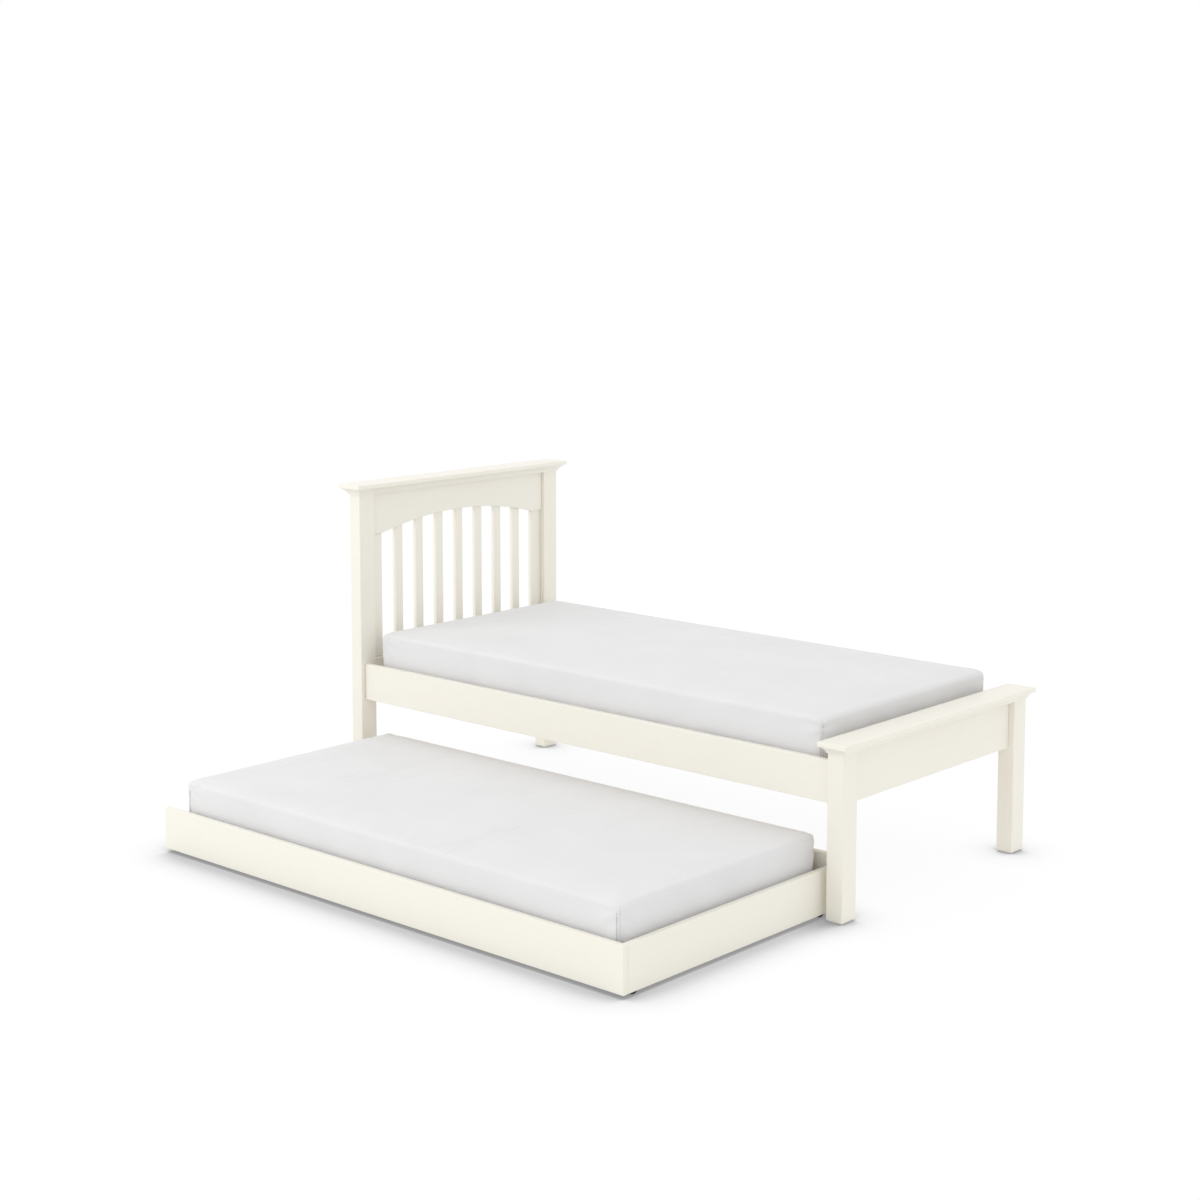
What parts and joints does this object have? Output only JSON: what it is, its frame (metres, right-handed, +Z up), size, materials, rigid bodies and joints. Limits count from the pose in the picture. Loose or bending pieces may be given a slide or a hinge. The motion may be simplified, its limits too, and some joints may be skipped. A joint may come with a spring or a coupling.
{
  "type": "trundle bed",
  "caption": "Single bed with a slatted, arched headboard, a low footboard and moulded caps, over a castored trundle with its own mattress that rolls out from one side.",
  "frame": {"origin": "on the floor, under the middle of the box round the whole object with its trundle out as at rest", "axes": "+X from the headboard to the footboard, +Y from the side the trundle comes out of to the other side, +Z up"},
  "size_m": [2.1, 1.836, 1.075],
  "materials": {
    "ivory_paint": "satin ivory paint over faint grain",
    "pine": "planed, unfinished",
    "mattress_ticking": "woven ticking",
    "white_sheet": "plain cotton weave",
    "bracket_steel": "zinc plated",
    "castor_steel": "black",
    "castor_plastic": "black, moulded"
  },
  "bodies": {
    "bed_frame": {"head_post_front": "ivory_paint", "head_post_back": "ivory_paint", "head_cap": "ivory_paint", "head_top_rail": "ivory_paint", "head_lower_rail": "ivory_paint", "head_stile_front": "ivory_paint", "head_stile_back": "ivory_paint", "head_slat_1": "ivory_paint", "head_slat_2": "ivory_paint", "head_slat_3": "ivory_paint", "head_slat_4": "ivory_paint", "head_slat_5": "ivory_paint", "head_slat_6": "ivory_paint", "head_slat_7": "ivory_paint", "foot_post_front": "ivory_paint", "foot_post_back": "ivory_paint", "foot_cap": "ivory_paint", "foot_panel": "ivory_paint", "side_rail_front": "ivory_paint", "side_rail_back": "ivory_paint", "slat_ledger_front": "pine", "slat_ledger_back": "pine", "bed_slat_01": "pine", "bed_slat_02": "pine", "bed_slat_03": "pine", "bed_slat_04": "pine", "bed_slat_05": "pine", "bed_slat_06": "pine", "bed_slat_07": "pine", "bed_slat_08": "pine", "bed_slat_09": "pine", "bed_slat_10": "pine", "corner_bracket_front_head": "bracket_steel", "corner_bracket_front_foot": "bracket_steel", "corner_bracket_back_head": "bracket_steel", "corner_bracket_back_foot": "bracket_steel", "bed_mattress": "mattress_ticking", "bed_fitted_sheet": "white_sheet"},
    "trundle": {"trundle_front_board": "ivory_paint", "trundle_back_board": "ivory_paint", "trundle_end_board_head": "ivory_paint", "trundle_end_board_foot": "ivory_paint", "trundle_ledger_front": "pine", "trundle_ledger_back": "pine", "trundle_slat_1": "pine", "trundle_slat_2": "pine", "trundle_slat_3": "pine", "trundle_slat_4": "pine", "trundle_slat_5": "pine", "trundle_slat_6": "pine", "castor_bracket_front_head": "castor_steel", "castor_bracket_front_foot": "castor_steel", "castor_bracket_back_head": "castor_steel", "castor_bracket_back_foot": "castor_steel", "trundle_mattress": "mattress_ticking", "trundle_fitted_sheet": "white_sheet"},
    "wheel_front_head": {"castor_wheel_front_head": "castor_plastic"},
    "wheel_front_foot": {"castor_wheel_front_foot": "castor_plastic"},
    "wheel_back_head": {"castor_wheel_back_head": "castor_plastic"},
    "wheel_back_foot": {"castor_wheel_back_foot": "castor_plastic"}
  },
  "joints": [
    {"name": "trundle_slide", "type": "slide", "parent": "bed_frame", "child": "trundle", "axis": [0, 1, 0], "range_m": [-0.12, 0.8535]},
    {"name": "wheel_front_head_spin", "type": "hinge", "parent": "trundle", "child": "wheel_front_head", "pos_m": [-0.9345, -0.865, 0.02], "axis": [1, 0, 0], "continuous": true},
    {"name": "wheel_front_foot_spin", "type": "hinge", "parent": "trundle", "child": "wheel_front_foot", "pos_m": [0.9345, -0.865, 0.02], "axis": [1, 0, 0], "continuous": true},
    {"name": "wheel_back_head_spin", "type": "hinge", "parent": "trundle", "child": "wheel_back_head", "pos_m": [-0.9345, -0.06, 0.02], "axis": [1, 0, 0], "continuous": true},
    {"name": "wheel_back_foot_spin", "type": "hinge", "parent": "trundle", "child": "wheel_back_foot", "pos_m": [0.9345, -0.06, 0.02], "axis": [1, 0, 0], "continuous": true}
  ],
  "couplings": [
    {"joint": "wheel_front_head_spin", "follows": "trundle_slide", "rad_per_m": -50},
    {"joint": "wheel_front_foot_spin", "follows": "trundle_slide", "rad_per_m": -50},
    {"joint": "wheel_back_head_spin", "follows": "trundle_slide", "rad_per_m": -50},
    {"joint": "wheel_back_foot_spin", "follows": "trundle_slide", "rad_per_m": -50}
  ]
}
